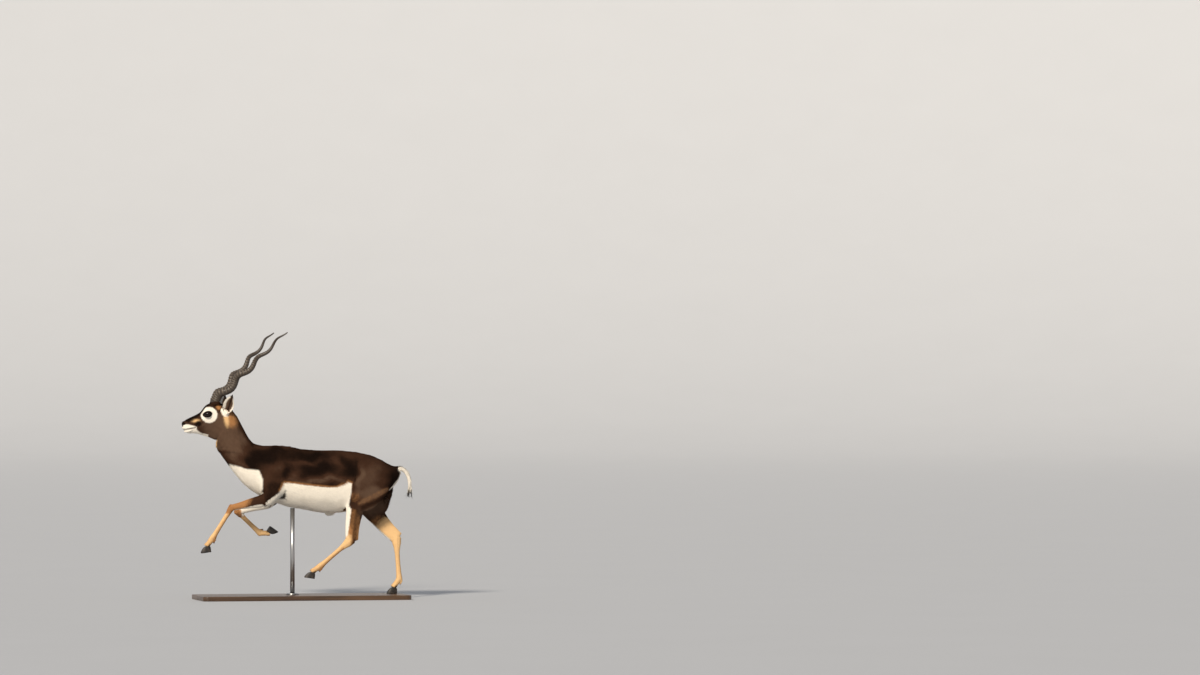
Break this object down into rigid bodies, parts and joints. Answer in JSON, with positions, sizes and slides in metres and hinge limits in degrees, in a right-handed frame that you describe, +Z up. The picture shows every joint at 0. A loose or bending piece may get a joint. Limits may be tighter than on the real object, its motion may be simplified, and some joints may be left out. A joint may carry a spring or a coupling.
{
  "type": "blackbuck",
  "caption": "Life-size galloping blackbuck buck with long ringed spiral horns, held over a flat base by a short upright rod",
  "frame": {"origin": "centre of the bounding box in plan, at the underside of the base", "axes": "+Z up, the animal faces -X and runs that way, its left side is towards -Y"},
  "size_m": [1.1186, 0.386, 1.2815],
  "materials": {
    "coat_dark": "short flat hair, dark brown to black",
    "coat_tan": "short flat hair, tan",
    "coat_white": "short flat hair, cream white",
    "horn": "ringed keratin, dark grey brown",
    "hoof": "dark keratin",
    "eye": "wet, nearly black",
    "stand": "dark stained, satin lacquer",
    "steel": "satin"
  },
  "bodies": {
    "root": {"head": "coat_dark", "neck": "coat_dark", "torso": "coat_dark", "tail": "coat_white", "horn_left": "horn", "ear_left": "coat_tan", "eye_left": "eye", "horn_right": "horn", "ear_right": "coat_tan", "eye_right": "eye", "foreleg_left": "coat_dark", "fore_cannon_left": "coat_tan", "hoof_fore_left_inner": "hoof", "hoof_fore_left_outer": "hoof", "foreleg_right": "coat_dark", "fore_cannon_right": "coat_tan", "hoof_fore_right_inner": "hoof", "hoof_fore_right_outer": "hoof", "thigh_left": "coat_dark", "shank_left": "coat_tan", "hind_cannon_left": "coat_tan", "hoof_hind_left_inner": "hoof", "hoof_hind_left_outer": "hoof", "thigh_right": "coat_dark", "shank_right": "coat_tan", "hind_cannon_right": "coat_tan", "hoof_hind_right_inner": "hoof", "hoof_hind_right_outer": "hoof", "stand_base": "stand", "stand_collar": "steel", "stand_rod": "steel"}
  },
  "joints": []
}
